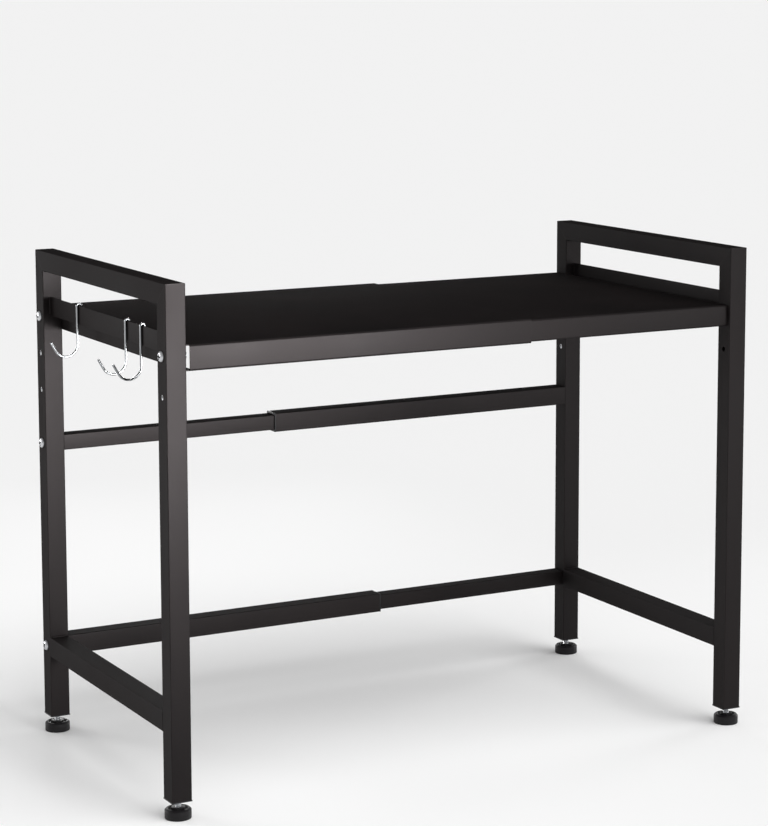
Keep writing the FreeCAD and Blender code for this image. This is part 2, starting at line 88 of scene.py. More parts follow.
# %% [markdown]
# ## The finishes
#
# Every finish reads Object coordinates, so its grain is as large on a hook as
# on a post. A finish has four parts: a colour that drifts a little, a roughness
# that drifts with it, a fine relief, and edges that have been touched more than
# the faces. The Bevel node finds those edges: it returns the normal of a
# slightly rounded shape, and where that differs from the true normal there is
# an edge.

# %% Helpers that all finishes share
# How far the rounded and the true normal agree on a face and on a full edge.
ON_FACE, ON_EDGE = 0.995, 0.90
# A Mix node lists its sockets for every kind of value; these are for colours.
MIX_AMOUNT, MIX_FIRST, MIX_SECOND, MIX_RESULT = 0, 6, 7, 2


def new_finish(name):
    """An empty material with its tree, its shader and its coordinates."""
    made = bpy.data.materials.new(name)
    made.use_nodes = True
    tree = made.node_tree
    shader = tree.nodes["Principled BSDF"]
    place = add(tree, "ShaderNodeTexCoord").outputs["Object"]
    return made, tree, shader, place


def noise(tree, place, per_metre, detail=2.0, stretch=None):
    """Cloudy values between 0 and 1; stretch scales the pattern along each axis."""
    if stretch:
        place = add(tree, "ShaderNodeMapping", {"Vector": place, "Scale": stretch}).outputs[0]
    inputs = {"Vector": place, "Scale": per_metre, "Detail": detail}
    return add(tree, "ShaderNodeTexNoise", inputs).outputs["Fac"]


def drift(tree, clouds, to_low, to_high):
    """Stretch noise, which mostly lies between 0.3 and 0.7, onto a range."""
    return remap(tree, clouds, 0.3, 0.7, to_low, to_high)


def touched_edges(tree, radius, patches):
    """1 on edges that hands and cloths have reached, broken up by patches."""
    rounded = add(tree, "ShaderNodeBevel", {"Radius": radius}, samples=4).outputs[0]
    true = add(tree, "ShaderNodeNewGeometry").outputs["Normal"]
    dot = add(tree, "ShaderNodeVectorMath", {0: rounded, 1: true}, operation="DOT_PRODUCT")
    edge = remap(tree, dot.outputs["Value"], ON_FACE, ON_EDGE, 0.0, 1.0)
    return calc(tree, "MULTIPLY", edge, remap(tree, patches, 0.35, 0.65, 0.2, 1.0))


def blend(tree, amount, first, second):
    """Blend two colours, each three numbers or the socket that carries it."""
    inputs = {MIX_AMOUNT: amount}
    for place, colour in ((MIX_FIRST, first), (MIX_SECOND, second)):
        inputs[place] = (*colour, 1.0) if isinstance(colour, tuple) else colour
    return add(tree, "ShaderNodeMix", inputs, data_type="RGBA").outputs[MIX_RESULT]


def relief(tree, shader, layers):
    """Stack bump layers given as (height socket, strength, distance)."""
    normal = None
    for height, strength, distance in layers:
        inputs = {"Height": height, "Strength": strength, "Distance": distance}
        if normal is not None:
            inputs["Normal"] = normal
        normal = add(tree, "ShaderNodeBump", inputs).outputs[0]
    tree.links.new(normal, shader.inputs["Normal"])


# %% [markdown]
# ### Powder coat
#
# The tubes and the trays are sprayed with black powder and baked. The powder
# melts into a tough, matt skin that is not quite level: tiny domes a few tenths
# of a millimetre across on top of a slow orange peel. Seen straight on it still
# has a satin gleam, but along the surface the domes hide one another and the
# gleam goes. So the Layer Weight node's Facing output raises the roughness and,
# at a low angle, takes most of the gloss away. The plain number for the gloss is
# multiplied in last, because an exported model keeps that number and drops what
# depends on the view. The pigment is a warm black.

# %% Powder coat
COAT_DARK, COAT_LIGHT = (0.0046, 0.0037, 0.0038), (0.0084, 0.0066, 0.0066)
COAT_WORN = (0.035, 0.032, 0.031)
COAT_TINT = (1.0, 0.92, 0.93, 1.0)
# Roughness seen straight on and along the surface.
SATIN, MATT = 0.42, 1.0
# Gloss seen straight on, and the share of it that is left along the surface.
GLOSS, GLOSS_LEFT = 0.18, 1 / 6


def powder_coat(name, rubbed_along=None):
    """The coat; rubbed_along stretches the streaks that sliding leaves on it."""
    made, tree, shader, place = new_finish(name)
    clouds = noise(tree, place, 9.0, 4.0)
    grain = noise(tree, place, 2600.0, 1.0)
    peel = noise(tree, place, 420.0, 2.0)
    edges = touched_edges(tree, 1.2 * MM, noise(tree, place, 60.0, 3.0))
    colour = blend(tree, drift(tree, clouds, 0.0, 1.0), COAT_DARK, COAT_LIGHT)
    colour = blend(tree, calc(tree, "MULTIPLY", edges, 0.35), colour, COAT_WORN)
    tree.links.new(colour, shader.inputs["Base Color"])

    facing = add(tree, "ShaderNodeLayerWeight", {"Blend": 0.5}).outputs["Facing"]
    rough = remap(tree, facing, 0.12, 0.78, SATIN, MATT)
    rough = calc(tree, "ADD", rough, drift(tree, clouds, -0.04, 0.04))
    rough = calc(tree, "SUBTRACT", rough, calc(tree, "MULTIPLY", edges, 0.08))
    layers = [(peel, 0.4, 0.08 * MM), (grain, 0.5, 0.05 * MM)]
    if rubbed_along:
        streaks = noise(tree, place, 300.0, 3.0, stretch=rubbed_along)
        worn = remap(tree, streaks, 0.55, 0.75, 0.0, 1.0)
        rough = calc(tree, "SUBTRACT", rough, calc(tree, "MULTIPLY", worn, 0.12))
        layers.append((streaks, 0.15, 0.02 * MM))
    tree.links.new(calc(tree, "MINIMUM", rough, 1.0), shader.inputs["Roughness"])
    fade = remap(tree, facing, 0.68, 0.80, 1.0, GLOSS_LEFT)
    gloss = calc(tree, "MULTIPLY", fade, GLOSS)
    tree.links.new(gloss, shader.inputs["Specular IOR Level"])
    shader.inputs["Specular Tint"].default_value = COAT_TINT
    relief(tree, shader, layers)
    return made


COAT = powder_coat("black_powder_coat")
RUBBED_COAT = powder_coat("black_powder_coat_rubbed", rubbed_along=(0.02, 1.0, 1.0))
print("finishes:", COAT.name, RUBBED_COAT.name)

# %% [markdown]
# ### Zinc plate and chrome
#
# Screws, nuts, inserts and stems are zinc plated: a bright grey metal with a
# faint cloudy spangle. Where a piece carries a "recess" mark, in the drive of a
# screw, the metal is painted near-black and made dull: painted shade in the deep
# recess, with a little oil and dust. The hooks are hard steel wire with bright
# chrome, almost a mirror, with a little haze where they are handled.

# %% Bright metals
# Near-black for the drive of a screw: painted shade in the recess, with some grime.
RECESS_SHADE_AND_GRIME = (0.020, 0.019, 0.018)


def bright_metal(name, colour, edge_colour, rough, haze, spangle):
    """A plated metal; haze is how much duller its clouds are, spangle how small."""
    made, tree, shader, place = new_finish(name)
    clouds = noise(tree, place, spangle, 3.0)
    fine = noise(tree, place, 1800.0, 2.0)
    edges = touched_edges(tree, 0.25 * MM, noise(tree, place, 200.0, 2.0))
    dull = tuple(0.86 * part for part in colour)
    shade = blend(tree, drift(tree, clouds, 0.0, 1.0), dull, colour)
    shade = blend(tree, calc(tree, "MULTIPLY", edges, 0.6), shade, edge_colour)
    # The "recess" mark paints the drive dark and dull: painted shade, with some grime.
    recess_shade_and_grime = add(tree, "ShaderNodeAttribute", attribute_name="recess").outputs["Fac"]
    shade = blend(tree, calc(tree, "MULTIPLY", recess_shade_and_grime, 0.92), shade, RECESS_SHADE_AND_GRIME)
    tree.links.new(shade, shader.inputs["Base Color"])
    polish = remap(tree, clouds, 0.25, 0.75, rough, rough + haze)
    polish = calc(tree, "ADD", polish, calc(tree, "MULTIPLY", recess_shade_and_grime, 0.3))
    tree.links.new(polish, shader.inputs["Roughness"])
    shader.inputs["Metallic"].default_value = 1.0
    relief(tree, shader, [(fine, 0.12, 0.02 * MM), (clouds, 0.1, 0.03 * MM)])
    return made


ZINC = bright_metal(
    "zinc_plate", colour=(0.62, 0.63, 0.65), edge_colour=(0.84, 0.84, 0.85),
    rough=0.24, haze=0.16, spangle=350.0,
)
CHROME = bright_metal(
    "chrome_wire", colour=(0.31, 0.32, 0.33), edge_colour=(0.39, 0.39, 0.41),
    rough=0.05, haze=0.08, spangle=120.0,
)
print("finishes:", ZINC.name, CHROME.name)

# %% [markdown]
# ### Moulded plastic
#
# The collars, caps, post plugs and foot pads are moulded. The collars and plugs
# are a hard black plastic with a fine spark-eroded grain; the feet are softer,
# rougher, and their rims are scuffed from being pushed about.

# %% Moulded plastics
SCUFFED = (0.085, 0.082, 0.080)


def moulded(name, dark, light, rough, grain_size, scuff):
    """A moulded plastic; scuff is how far its touched edges turn grey."""
    made, tree, shader, place = new_finish(name)
    clouds = noise(tree, place, 70.0, 3.0)
    inputs = {"Vector": place, "Scale": grain_size}
    cells = add(tree, "ShaderNodeTexVoronoi", inputs).outputs["Distance"]
    edges = touched_edges(tree, 0.6 * MM, noise(tree, place, 260.0, 3.0))
    colour = blend(tree, drift(tree, clouds, 0.0, 1.0), dark, light)
    colour = blend(tree, calc(tree, "MULTIPLY", edges, scuff), colour, SCUFFED)
    tree.links.new(colour, shader.inputs["Base Color"])
    polish = drift(tree, clouds, rough - 0.05, rough + 0.06)
    polish = calc(tree, "ADD", polish, calc(tree, "MULTIPLY", edges, 0.1))
    tree.links.new(polish, shader.inputs["Roughness"])
    shader.inputs["Specular IOR Level"].default_value = 0.25
    relief(tree, shader, [(cells, 0.3, 0.04 * MM), (clouds, 0.1, 0.1 * MM)])
    return made


HARD_PLASTIC = moulded(
    "hard_black_plastic", dark=(0.009, 0.009, 0.010), light=(0.014, 0.014, 0.015),
    rough=0.42, grain_size=1600.0, scuff=0.25,
)
FOOT_PLASTIC = moulded(
    "soft_foot_plastic", dark=(0.006, 0.005, 0.006), light=(0.010, 0.009, 0.010),
    rough=0.55, grain_size=1100.0, scuff=0.35,
)
print("finishes:", HARD_PLASTIC.name, FOOT_PLASTIC.name)

# %% [markdown]
# ## Shading the construction
#
# The construction arrives as loose triangles. Its shape is right, but a rounded
# tube corner would show as flat strips. A short node tree merges the triangles'
# corners, shades everything smooth, and then makes the sharp folds sharp again.
# It stays on the sub-parts as a modifier, because their meshes are not edited.

# %% Tree that merges and shades
MERGE_DISTANCE = 0.01 * MM


def new_tree(name, sizes, takes_material=True):
    """A geometry tree with named inputs; gives the tree and its input sockets."""
    tree = bpy.data.node_groups.new(name, "GeometryNodeTree")
    sockets = tree.interface
    sockets.new_socket("Geometry", in_out="INPUT", socket_type="NodeSocketGeometry")
    for label, start in sizes.items():
        kind = "NodeSocketInt" if isinstance(start, int) else "NodeSocketFloat"
        sockets.new_socket(label, in_out="INPUT", socket_type=kind).default_value = start
    if takes_material:
        sockets.new_socket("Finish", in_out="INPUT", socket_type="NodeSocketMaterial")
    sockets.new_socket("Geometry", in_out="OUTPUT", socket_type="NodeSocketGeometry")
    return tree, tree.nodes.new("NodeGroupInput").outputs


def end_tree(tree, geometry, finish=None):
    """Turn instances into real mesh, give it its finish and send it out."""
    if finish is not None:
        geometry = add(tree, "GeometryNodeRealizeInstances", {"Geometry": geometry}).outputs[0]
        inputs = {"Geometry": geometry, "Material": finish}
        geometry = add(tree, "GeometryNodeSetMaterial", inputs).outputs[0]
    add(tree, "NodeGroupOutput", {"Geometry": geometry})
    return tree


def shading_tree():
    """Merge the triangles' corners and keep only the true folds sharp."""
    sizes = {"Merge Distance": MERGE_DISTANCE, "Sharp Angle": 0.6}
    tree, given = new_tree("merge_and_shade", sizes, takes_material=False)
    inputs = {"Geometry": given["Geometry"], "Distance": given["Merge Distance"]}
    merged = add(tree, "GeometryNodeMergeByDistance", inputs).outputs[0]
    inputs = {"Geometry": merged, "Shade Smooth": True}
    smooth = add(tree, "GeometryNodeSetShadeSmooth", inputs, domain="FACE").outputs[0]
    inputs = {0: add(tree, "GeometryNodeInputMeshEdgeAngle").outputs[0], 1: given["Sharp Angle"]}
    fold = add(tree, "FunctionNodeCompare", inputs, operation="GREATER_THAN").outputs[0]
    inputs = {"Geometry": smooth, "Selection": fold, "Shade Smooth": False}
    creased = add(tree, "GeometryNodeSetShadeSmooth", inputs, domain="EDGE").outputs[0]
    return end_tree(tree, creased)


SHADING = shading_tree()
print("tree:", SHADING.name, "with", len(SHADING.nodes), "nodes")


def inputs_of(modifier, tree, values):
    """Set a modifier's inputs by the identifiers of its sockets."""
    for item in tree.interface.items_tree:
        if item.item_type == "SOCKET" and item.in_out == "INPUT" and item.name in values:
            modifier[item.identifier] = values[item.name]


def shade(node, bevel=0.0):
    """Merge and shade a sub-part, with small rounds on its folds if asked."""
    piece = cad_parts[node]
    if bevel:
        merge = piece.modifiers.new("merge", "WELD")
        merge.merge_threshold = MERGE_DISTANCE
        rounds = piece.modifiers.new("rounds", "BEVEL")
        rounds.width = bevel
        rounds.segments = 3
        rounds.limit_method = "ANGLE"
        rounds.angle_limit = math.radians(40)
        rounds.use_clamp_overlap = True
    modifier = piece.modifiers.new("merge_and_shade", "NODES")
    modifier.node_group = SHADING


# %% Finish the construction
def finish(node, material):
    """Give a sub-part its one finish."""
    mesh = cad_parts[node].data
    mesh.materials.clear()
    mesh.materials.append(material)


FRAME_PARTS = [
    side + part
    for side in ("left_", "right_")
    for part in ("front_post", "rear_post", "top_rail", "lower_rail", "guard_bar")
]
BAR_PARTS = ["mid_bar_sleeve", "lower_bar_sleeve", "mid_bar_slider", "lower_bar_slider"]
MOULDED_PARTS = [
    "mid_bar_bushing", "lower_bar_bushing", "mid_bar_slider_cap", "lower_bar_slider_cap",
    "left_post_plugs", "right_post_plugs",
]
GUARD_ROUND, MOULDED_ROUND = 0.3 * MM, 0.35 * MM

for node in FRAME_PARTS + ["outer_tray", "inner_tray"] + BAR_PARTS[:2]:
    finish(node, COAT)
    shade(node, bevel=GUARD_ROUND if node.endswith("guard_bar") else 0.0)
for node in BAR_PARTS[2:]:
    finish(node, RUBBED_COAT)
    shade(node)
for node in MOULDED_PARTS:
    finish(node, HARD_PLASTIC)
    shade(node, bevel=MOULDED_ROUND)
for node in ("left_bar_plugs", "right_bar_plugs"):
    finish(node, ZINC)
    shade(node)
print("shaded", len(FRAME_PARTS) + len(BAR_PARTS) + len(MOULDED_PARTS) + 4, "sub-parts")

# %% [markdown]
# ## Where things sit
#
# Screws, nuts and inserts repeat, so each is described once in a node tree and
# set on points. A point needs a place and a direction. The helper below makes a
# mesh of loose points with a "facing" attribute; `grow` runs a tree on it and
# keeps the outcome as a plain mesh on one body, since the modifier itself would
# not survive an export.

# %% Seats and growing
SAME_PLACE = 1e-7


def seats(name, spots):
    """Loose points, each with the direction that its piece faces."""
    mesh = bpy.data.meshes.new(name)
    mesh.from_pydata([spot for spot, _ in spots], [], [])
    facing = mesh.attributes.new("facing", "FLOAT_VECTOR", "POINT")
    for number, (_, direction) in enumerate(spots):
        facing.data[number].vector = direction
    return mesh


def keep(name, mesh, body, sharp=35.0):
    """Shade a finished mesh, close it off and let it ride on a body."""
    work = bmesh.new()
    work.from_mesh(mesh)
    bmesh.ops.remove_doubles(work, verts=work.verts, dist=SAME_PLACE)
    work.to_mesh(mesh)
    work.free()
    mesh.shade_smooth()
    mesh.set_sharp_from_angle(angle=math.radians(sharp))
    made = bpy.data.objects.new(name, mesh)
    bpy.context.scene.collection.objects.link(made)
    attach(made, body)
    return made


def grow(name, carrier_mesh, tree, values, body, sharp=35.0):
    """Run a tree on a carrier and keep what comes out as a plain mesh."""
    carrier = bpy.data.objects.new(name + "_carrier", carrier_mesh)
    bpy.context.scene.collection.objects.link(carrier)
    modifier = carrier.modifiers.new("grow", "NODES")
    modifier.node_group = tree
    inputs_of(modifier, tree, values)
    ready = carrier.evaluated_get(bpy.context.evaluated_depsgraph_get())
    mesh = bpy.data.meshes.new_from_object(ready)
    mesh.name = name
    facing = mesh.attributes.get("facing")
    if facing is not None:
        mesh.attributes.remove(facing)
    bpy.data.objects.remove(carrier)
    made = keep(name, mesh, body, sharp)
    print(name, len(mesh.polygons), "faces")
    return made


def on_seats(tree, geometry, points, turn=None):
    """Set a piece on every point, its +Z along the point's facing."""
    inputs = {"Name": "facing"}
    facing = add(tree, "GeometryNodeInputNamedAttribute", inputs, data_type="FLOAT_VECTOR")
    inputs = {"Vector": facing.outputs[0]}
    rotation = add(tree, "FunctionNodeAlignRotationToVector", inputs, axis="Z").outputs[0]
    if turn is not None:
        inputs = {"Axis": (0, 0, 1), "Angle": turn}
        spin = add(tree, "FunctionNodeAxisAngleToRotation", inputs).outputs[0]
        inputs = {"Rotation": rotation, "Rotate By": spin}
        turned_round = add(tree, "FunctionNodeRotateRotation", inputs, rotation_space="LOCAL")
        rotation = turned_round.outputs[0]
    inputs = {"Points": points, "Instance": geometry, "Rotation": rotation}
    return add(tree, "GeometryNodeInstanceOnPoints", inputs).outputs[0]


# %% [markdown]
# ## Threads
#
# A real thread is one helical groove. A cylinder with many rings can be carved
# into one: each vertex knows its angle and its height, and the depth of the
# groove there is a saw-tooth of height divided by pitch minus the angle's share
# of a turn. At both ends the rod narrows to the depth of the groove, which gives
# the usual lead-in.

# %% Tree that carves a thread
# The groove is at its full depth this far, in turns, from its middle, and gone
# at the second distance.
DEEP, SHALLOW = 0.08, 0.42
# The rod narrows over this many pitches at each end.
LEAD_IN = 0.6


def places(tree):
    """Where each point of a mesh is, as its X, Y and Z sockets."""
    where = add(tree, "GeometryNodeInputPosition").outputs[0]
    return add(tree, "ShaderNodeSeparateXYZ", {0: where}).outputs


def moved(tree, mesh, x, y, z):
    """The mesh with every point set to a new X, Y and Z."""
    where = add(tree, "ShaderNodeCombineXYZ", {"X": x, "Y": y, "Z": z}).outputs[0]
    return add(tree, "GeometryNodeSetPosition", {"Geometry": mesh, "Position": where}).outputs[0]


def carved_rod(tree, radius, length, pitch, depth, sides, rings):
    """A closed rod from 0 up to its length along +Z with a helical groove."""
    inputs = {"Vertices": sides, "Side Segments": rings, "Radius": radius, "Depth": length}
    rod = add(tree, "GeometryNodeMeshCylinder", inputs, fill_type="NGON").outputs["Mesh"]
    spot = places(tree)
    height = calc(tree, "ADD", spot["Z"], calc(tree, "DIVIDE", length, 2.0))
    turns = calc(tree, "DIVIDE", calc(tree, "ARCTAN2", spot["Y"], spot["X"]), 2 * math.pi)
    phase = calc(tree, "SUBTRACT", calc(tree, "DIVIDE", height, pitch), turns)
    phase = calc(tree, "SUBTRACT", calc(tree, "FRACT", phase), 0.5)
    groove = remap(tree, calc(tree, "ABSOLUTE", phase), DEEP, SHALLOW, 1.0, 0.0)
    from_end = calc(tree, "MINIMUM", height, calc(tree, "SUBTRACT", length, height))
    near_end = remap(tree, from_end, 0.0, calc(tree, "MULTIPLY", pitch, LEAD_IN), 1.0, 0.0)
    groove = calc(tree, "MAXIMUM", groove, near_end)
    share = calc(tree, "DIVIDE", calc(tree, "MULTIPLY", depth, groove), radius)
    scale = calc(tree, "SUBTRACT", 1.0, share)
    x, y = (calc(tree, "MULTIPLY", spot[axis], scale) for axis in "XY")
    return moved(tree, rod, x, y, height)


def thread_tree():
    """Threaded rods on seats."""
    sizes = {"Radius": 0.003, "Length": 0.033, "Pitch": 0.001, "Depth": 0.0004}
    sizes.update({"Sides": 24, "Rings": 200})
    tree, given = new_tree("threaded_rod", sizes)
    rod = carved_rod(tree, *(given[label] for label in sizes))
    return end_tree(tree, on_seats(tree, rod, given["Geometry"]), given["Finish"])


THREADED_ROD = thread_tree()
print("tree:", THREADED_ROD.name, "with", len(THREADED_ROD.nodes), "nodes")

# %% [markdown]
# ## Pan-head screws
#
# The shelf and the crossbars are held by pan-head machine screws with a cross
# recess. The head starts as a short cylinder whose cap has many rings; lowering
# each ring by the fourth power of its radius gives the flat middle and the
# rolled shoulder of a pan head. Two crossed wedges are cut out for the driver.
# No fitter leaves screws lined up, so each gets its own turn from a fixed seed.

# %% Tree for the screw heads
# How far the rim lies below the middle, as a share of the height, and how far
# the top draws in, as a share of the radius.
SHOULDER, DRAW_IN = 0.42, 0.10
# How much narrower the recess is at its bottom, along and across a slot.
NARROWER, THINNER = 0.62, 0.35
# What counts as recess: what lies under this share of the head's height, less
# the cap's fall, and inside this share of the radius.
BELOW_CAP, RECESS_REACH = 0.95, 0.7
# A Random Value node lists its sockets for every kind; these are for numbers.
RANDOM_MAX, RANDOM_VALUE = 3, 1


def cap_height(tree, share, middle_height):
    """The cap's height at a share of the radius, as a share of the head's."""
    fall = calc(tree, "MULTIPLY", calc(tree, "POWER", share, 4.0), SHOULDER)
    return calc(tree, "SUBTRACT", middle_height, fall)


def radius_share(tree, spot, radius):
    """How far out each point lies, as a share of the radius."""
    squares = [calc(tree, "POWER", spot[axis], 2.0) for axis in "XY"]
    return calc(tree, "DIVIDE", calc(tree, "SQRT", calc(tree, "ADD", *squares)), radius)


def slot_cutter(tree, given, quarter):
    """A tapered block across the head, turned to one arm of the cross."""
    deep = calc(tree, "MULTIPLY", given["Recess Depth"], 2.0)
    inputs = {"X": given["Recess Length"], "Y": given["Recess Width"], "Z": deep}
    size = add(tree, "ShaderNodeCombineXYZ", inputs).outputs[0]
    block = add(tree, "GeometryNodeMeshCube", {"Size": size}).outputs["Mesh"]
    spot = places(tree)
    low = calc(tree, "LESS_THAN", spot["Z"], 0.0)
    scales = [calc(tree, "SUBTRACT", 1.0, calc(tree, "MULTIPLY", low, cut))
              for cut in (NARROWER, THINNER)]
    x, y = (calc(tree, "MULTIPLY", spot[axis], scale) for axis, scale in zip("XY", scales))
    block = moved(tree, block, x, y, spot["Z"])
    lift = add(tree, "ShaderNodeCombineXYZ", {"Z": given["Height"]}).outputs[0]
    inputs = {"Geometry": block, "Translation": lift, "Rotation": (0.0, 0.0, quarter)}
    return add(tree, "GeometryNodeTransform", inputs).outputs[0]


def head_tree():
    """Pan heads with a cross recess on seats, each with its own turn."""
    sizes = {"Radius": 0.005, "Height": 0.0028, "Seed": 7}
    sizes.update({"Recess Width": 0.0022, "Recess Length": 0.0088, "Recess Depth": 0.0023})
    tree, given = new_tree("pan_head_screws", sizes)
    inputs = {"Vertices": 40, "Side Segments": 3, "Fill Segments": 7}
    inputs.update({"Radius": given["Radius"], "Depth": given["Height"]})
    disc = add(tree, "GeometryNodeMeshCylinder", inputs, fill_type="TRIANGLE_FAN").outputs["Mesh"]
    spot = places(tree)
    share = radius_share(tree, spot, given["Radius"])
    height = calc(tree, "ADD", calc(tree, "DIVIDE", spot["Z"], given["Height"]), 0.5)
    sunk = calc(tree, "MULTIPLY", height, cap_height(tree, share, 1.0))
    rise = calc(tree, "MULTIPLY", sunk, given["Height"])
    drawn = calc(tree, "MULTIPLY", calc(tree, "POWER", height, 3.0), DRAW_IN)
    inset = calc(tree, "SUBTRACT", 1.0, drawn)
    x, y = (calc(tree, "MULTIPLY", spot[axis], inset) for axis in "XY")
    disc = moved(tree, disc, x, y, rise)

    cut = add(tree, "GeometryNodeMeshBoolean", {"Mesh 1": disc}, operation="DIFFERENCE")
    for quarter in (0.0, math.pi / 2):
        tree.links.new(slot_cutter(tree, given, quarter), cut.inputs["Mesh 2"])

    # Faces in the drive get a "recess" mark, where the zinc finish paints shade.
    spot = places(tree)
    share = radius_share(tree, spot, given["Radius"])
    cap = calc(tree, "MULTIPLY", cap_height(tree, share, BELOW_CAP), given["Height"])
    under = calc(tree, "LESS_THAN", spot["Z"], cap)
    inside = calc(tree, "MULTIPLY", under, calc(tree, "LESS_THAN", share, RECESS_REACH))
    inputs = {"Geometry": cut.outputs[0], "Name": "recess", "Value": inside}
    marked = add(tree, "GeometryNodeStoreNamedAttribute", inputs, data_type="FLOAT", domain="FACE")

    inputs = {RANDOM_MAX: 2 * math.pi, "Seed": given["Seed"]}
    turn = add(tree, "FunctionNodeRandomValue", inputs, data_type="FLOAT").outputs[RANDOM_VALUE]
    heads = on_seats(tree, marked.outputs[0], given["Geometry"], turn)
    return end_tree(tree, heads, given["Finish"])


PAN_HEADS = head_tree()
print("tree:", PAN_HEADS.name, "with", len(PAN_HEADS.nodes), "nodes")

# %% [markdown]
# ## Clinch nuts and threaded inserts
#
# The shelf screws bite into thin round clinch nuts pressed into the folded
# sheet, and the spare holes in the posts are lined with threaded inserts. Both
# are the same idea at different sizes: a round flange on the metal, a sleeve
# through the hole, and a thread cut through the two. So one tree makes both. It
# rolls the flange's rim, joins the sleeve to it, and taps the hole with the
# carved rod that also makes the screws. The spare hole in the right front post
# is plain on its inner side and shows dark.

# %% Tree for the clinch nuts and the inserts
# The tap runs past the blank by this much at each end.
OVERRUN = 1.0 * MM


def turned(tree, radius, low, high, sides, rim=0.0):
    """A closed cylinder on the Z axis; rim rolls in its top by a share of the radius."""
    depth = calc(tree, "SUBTRACT", high, low)
    inputs = {"Vertices": sides, "Side Segments": 6, "Radius": radius, "Depth": depth}
    made = add(tree, "GeometryNodeMeshCylinder", inputs, fill_type="NGON").outputs["Mesh"]
    spot = places(tree)
    share = calc(tree, "ADD", calc(tree, "DIVIDE", spot["Z"], depth), 0.5)
    rolled = calc(tree, "MULTIPLY", calc(tree, "POWER", share, 8.0), rim)
    inset = calc(tree, "SUBTRACT", 1.0, rolled)
    lifted = calc(tree, "ADD", calc(tree, "MULTIPLY", share, depth), low)
    x, y = (calc(tree, "MULTIPLY", spot[axis], inset) for axis in "XY")
    return moved(tree, made, x, y, lifted)


def joined(tree, operation, first, other):
    """Combine two closed meshes: UNION or DIFFERENCE."""
    made = add(tree, "GeometryNodeMeshBoolean", operation=operation)
    tree.links.new(first, made.inputs["Mesh 1" if operation == "DIFFERENCE" else "Mesh 2"])
    tree.links.new(other, made.inputs["Mesh 2"])
    return made.outputs[0]


def insert_tree():
    """Tapped flanges with a sleeve behind them, on seats."""
    sizes = {"Flange Radius": 0.00255, "Flange Height": 0.0002, "Rim": 0.08}
    sizes.update({"Sleeve Radius": 0.0025, "Sleeve Length": 0.007})
    sizes.update({"Bore": 0.0023, "Pitch": 0.0008, "Thread Depth": 0.00035})
    tree, given = new_tree("tapped_flanges", sizes)
    height, length = given["Flange Height"], given["Sleeve Length"]
    flange = turned(tree, given["Flange Radius"], 0.0, height, 40, given["Rim"])
    back = calc(tree, "MULTIPLY", length, -1.0)
    sleeve = turned(tree, given["Sleeve Radius"], back, calc(tree, "DIVIDE", height, 2.0), 40)
    blank = joined(tree, "UNION", flange, sleeve)
    reach = calc(tree, "ADD", calc(tree, "ADD", length, height), 2 * OVERRUN)
    tap = carved_rod(tree, given["Bore"], reach, given["Pitch"], given["Thread Depth"], 20, 70)
    drop = add(tree, "ShaderNodeCombineXYZ", {"Z": calc(tree, "SUBTRACT", back, OVERRUN)})
    inputs = {"Geometry": tap, "Translation": drop.outputs[0]}
    tap = add(tree, "GeometryNodeTransform", inputs).outputs[0]
    insert = joined(tree, "DIFFERENCE", blank, tap)
    return end_tree(tree, on_seats(tree, insert, given["Geometry"]), given["Finish"])


TAPPED_FLANGES = insert_tree()
print("tree:", TAPPED_FLANGES.name, "with", len(TAPPED_FLANGES.nodes), "nodes")

# %% Fit the screws, nuts and inserts
SCREW_RADIUS, SCREW_PITCH, HEAD_HEIGHT = 2.5 * MM, 0.8 * MM, 2.8 * MM
SHELF_SCREW_LENGTH, BAR_SCREW_LENGTH = 23.0 * MM, 34.5 * MM
SHELF_SCREW_Z, HOLE_STEP = 430.6 * MM, 37.4 * MM
SHEET = 1.0 * MM
NUT_RADIUS, NUT_HEIGHT = 4.35 * MM, 2.0 * MM
NUT_SLEEVE_RADIUS, NUT_SLEEVE_LENGTH = 2.57 * MM, 0.9 * MM
# An insert's flange starts this far below the face of the post.
INSERT_SUNK = 0.5 * MM


def middle(node, axis):
    """The middle of a construction piece along one axis."""
    low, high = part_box(node)
    return (low[axis] + high[axis]) / 2


FIRST_HOLE_Z = SHELF_SCREW_Z - HOLE_STEP
SECOND_HOLE_Z = FIRST_HOLE_Z - HOLE_STEP
BAR_ZS = [middle("mid_bar_sleeve", 2), middle("lower_bar_sleeve", 2)]
FRONT_Y = middle("left_front_post", 1)
REAR_Y = middle("left_rear_post", 1)

